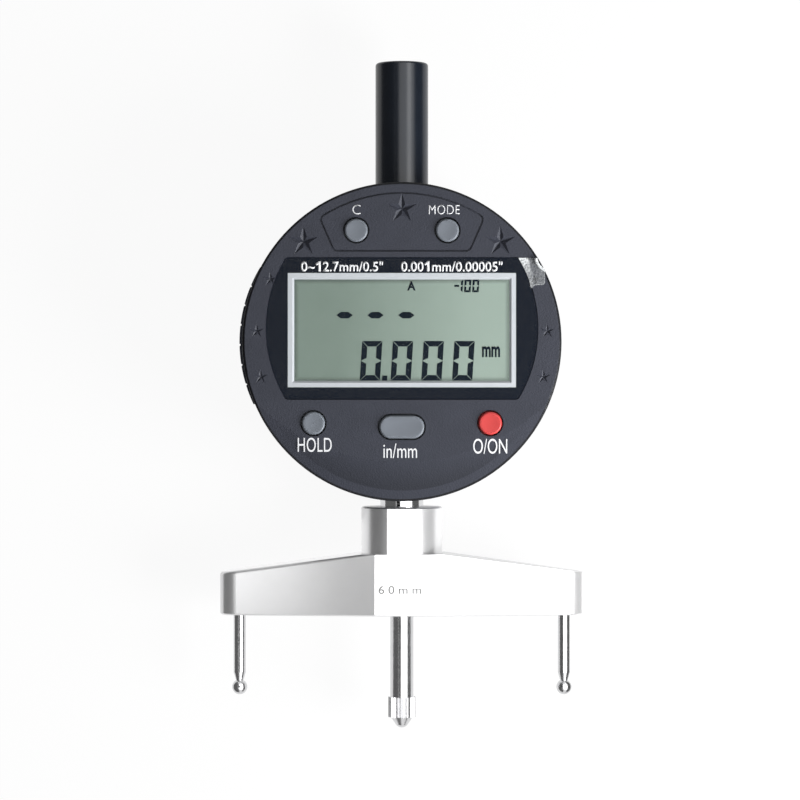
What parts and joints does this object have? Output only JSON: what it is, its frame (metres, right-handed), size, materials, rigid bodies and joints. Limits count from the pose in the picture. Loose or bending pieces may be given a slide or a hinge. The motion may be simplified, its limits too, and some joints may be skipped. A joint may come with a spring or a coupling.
{
  "type": "digital radius gauge",
  "caption": "Digital radius gauge: round indicator with display and keys, sprung spindle, and a bridge with ball-ended pins that straddle the curve being measured.",
  "frame": {"origin": "centre of the flat back, on which the gauge lies with its display up", "axes": "+Z out of the display, +Y along the spindle towards the cap, +X to the right of the display"},
  "size_m": [0.0672, 0.1229, 0.0255],
  "materials": {
    "case_plastic": "fine matt moulded grain, charcoal",
    "cap_black": "satin black",
    "panel_black": "glossy black",
    "bezel_silver": "pale silver, semi-gloss",
    "clear_lens": "clear",
    "clear_film": "clear thin film",
    "lcd_grey_green": "grey-green liquid crystal cell",
    "key_grey": "smooth grey",
    "key_red": "smooth red",
    "bridge_aluminium": "satin, fine blasted",
    "ground_steel": "ground and polished",
    "polished_steel": "polished",
    "brass": "turned",
    "board_green": "solder resist",
    "scale_copper": "etched copper on board",
    "black_plastic": "moulded",
    "strip_rubber": "silicone with carbon layers",
    "zinc_steel": "zinc plated",
    "black_steel": "black oxide",
    "cell_steel": "nickel plated",
    "spring_steel": "drawn wire",
    "carrier_metal": "machined"
  },
  "bodies": {
    "case": {"front_cover": "case_plastic", "rear_housing": "case_plastic", "back_cover": "case_plastic", "case_screws": "zinc_steel", "display_panel": "panel_black", "display_bezel": "bezel_silver", "display_lens": "clear_lens", "lcd_cell": "lcd_grey_green", "screen_film": "clear_film", "contact_strips": "strip_rubber", "circuit_board": "board_green", "key_switches": "black_plastic", "sensor_board": "board_green", "sensor_screws": "zinc_steel", "board_link": "black_plastic", "battery_contacts": "cell_steel", "stem": "polished_steel", "lower_bush": "brass", "upper_bush": "brass", "guide_rod": "ground_steel", "spindle_cap": "cap_black", "bridge": "bridge_aluminium", "clamp_screw": "black_steel", "left_pin": "ground_steel", "right_pin": "ground_steel", "return_spring": "spring_steel"},
    "spindle_unit": {"spindle": "ground_steel", "contact_point": "polished_steel", "carrier": "carrier_metal", "carrier_screw": "black_steel", "scale_strip": "scale_copper"},
    "battery_unit": {"battery_drawer": "case_plastic", "button_cell": "cell_steel"},
    "clear_button": {"clear_key": "key_grey"},
    "mode_button": {"mode_key": "key_grey"},
    "hold_button": {"hold_key": "key_grey"},
    "unit_button": {"unit_key": "key_grey"},
    "power_button": {"power_key": "key_red"}
  },
  "joints": [
    {"name": "spindle_slide", "type": "slide", "parent": "case", "child": "spindle_unit", "axis": [0, 1, 0], "range_m": [0, 0.0127], "stiffness_N_per_m": 40, "springref_m": -0.025, "deforming": ["return_spring"]},
    {"name": "drawer_slide", "type": "slide", "parent": "case", "child": "battery_unit", "axis": [-1, 0, 0], "range_m": [0, 0.016]},
    {"name": "clear_press", "type": "slide", "parent": "case", "child": "clear_button", "axis": [0, 0, -1], "range_m": [0, 0.0005], "stiffness_N_per_m": 1500},
    {"name": "mode_press", "type": "slide", "parent": "case", "child": "mode_button", "axis": [0, 0, -1], "range_m": [0, 0.0005], "stiffness_N_per_m": 1500},
    {"name": "hold_press", "type": "slide", "parent": "case", "child": "hold_button", "axis": [0, 0, -1], "range_m": [0, 0.0005], "stiffness_N_per_m": 1500},
    {"name": "unit_press", "type": "slide", "parent": "case", "child": "unit_button", "axis": [0, 0, -1], "range_m": [0, 0.0005], "stiffness_N_per_m": 1500},
    {"name": "power_press", "type": "slide", "parent": "case", "child": "power_button", "axis": [0, 0, -1], "range_m": [0, 0.0005], "stiffness_N_per_m": 1500}
  ]
}
